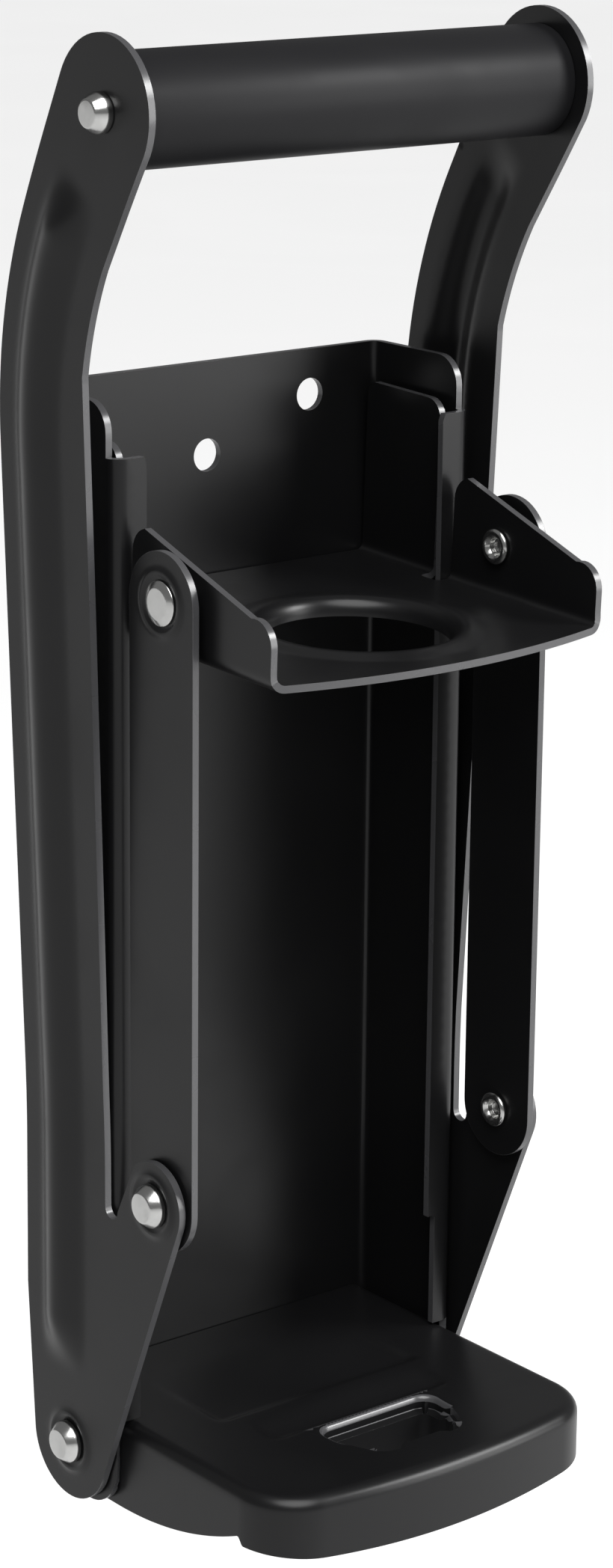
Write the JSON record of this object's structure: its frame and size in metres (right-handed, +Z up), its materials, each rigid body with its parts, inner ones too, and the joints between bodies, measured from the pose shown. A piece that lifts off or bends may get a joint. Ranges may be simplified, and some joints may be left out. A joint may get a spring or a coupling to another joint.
{
  "type": "lever can crusher",
  "caption": "Wall-hung lever can crusher: a steel channel with a can seat, a sliding ram with a round hole, two links and a two-armed lever with a tube handle.",
  "frame": {"origin": "on the wall face, midway between the side walls, level with the top of the base tray that the can stands on", "axes": "+Z up along the channel, +Y into the wall so that the front faces -Y, +X to the right seen from the front"},
  "size_m": [0.1162, 0.0845, 0.3028],
  "materials": {
    "black_sheet": "satin black powder coat",
    "grip_black": "smooth satin black",
    "bush_black": "moulded, matte",
    "bright_rivet": "bright nickel plate",
    "washer_steel": "zinc plated"
  },
  "bodies": {
    "wall_body": {"body_channel": "black_sheet", "base_tray": "black_sheet", "pivot_rivet_left": "bright_rivet", "pivot_rivet_right": "bright_rivet", "pivot_washer_left": "washer_steel", "pivot_washer_right": "washer_steel"},
    "lever": {"lever_arm_left": "black_sheet", "lever_arm_right": "black_sheet", "handle_tube": "grip_black", "handle_rod": "bright_rivet", "handle_bush_left": "bush_black", "handle_bush_right": "bush_black", "link_rivet_left": "bright_rivet", "link_rivet_right": "bright_rivet", "link_washer_left": "washer_steel", "link_washer_right": "washer_steel"},
    "left_link": {"link_left": "black_sheet", "ram_rivet_left": "bright_rivet"},
    "right_link": {"link_right": "black_sheet", "ram_rivet_right": "bright_rivet"},
    "ram": {"ram_head": "black_sheet", "ram_stub_left": "bright_rivet", "ram_stub_right": "bright_rivet", "ram_washer_left": "washer_steel", "ram_washer_right": "washer_steel"}
  },
  "joints": [
    {"name": "lever_hinge", "type": "hinge", "parent": "wall_body", "child": "lever", "pos_m": [0, -0.0162, -0.0076], "axis": [1, 0, 0], "range_deg": [0, 129.7]},
    {"name": "left_link_hinge", "type": "hinge", "parent": "lever", "child": "left_link", "pos_m": [-0.0442, -0.045, 0.0538], "axis": [1, 0, 0], "range_deg": [-129.8, 0]},
    {"name": "right_link_hinge", "type": "hinge", "parent": "lever", "child": "right_link", "pos_m": [0.0442, -0.045, 0.0538], "axis": [1, 0, 0], "range_deg": [-129.8, 0]},
    {"name": "ram_slide", "type": "slide", "parent": "wall_body", "child": "ram", "axis": [0, 0, 1], "range_m": [-0.123, 0]}
  ],
  "couplings": [
    {"joint": "left_link_hinge", "follows": "lever_hinge", "ratio": -1},
    {"joint": "right_link_hinge", "follows": "lever_hinge", "ratio": -1},
    {"joint": "ram_slide", "follows": "lever_hinge", "m_per_rad": -0.05423}
  ]
}
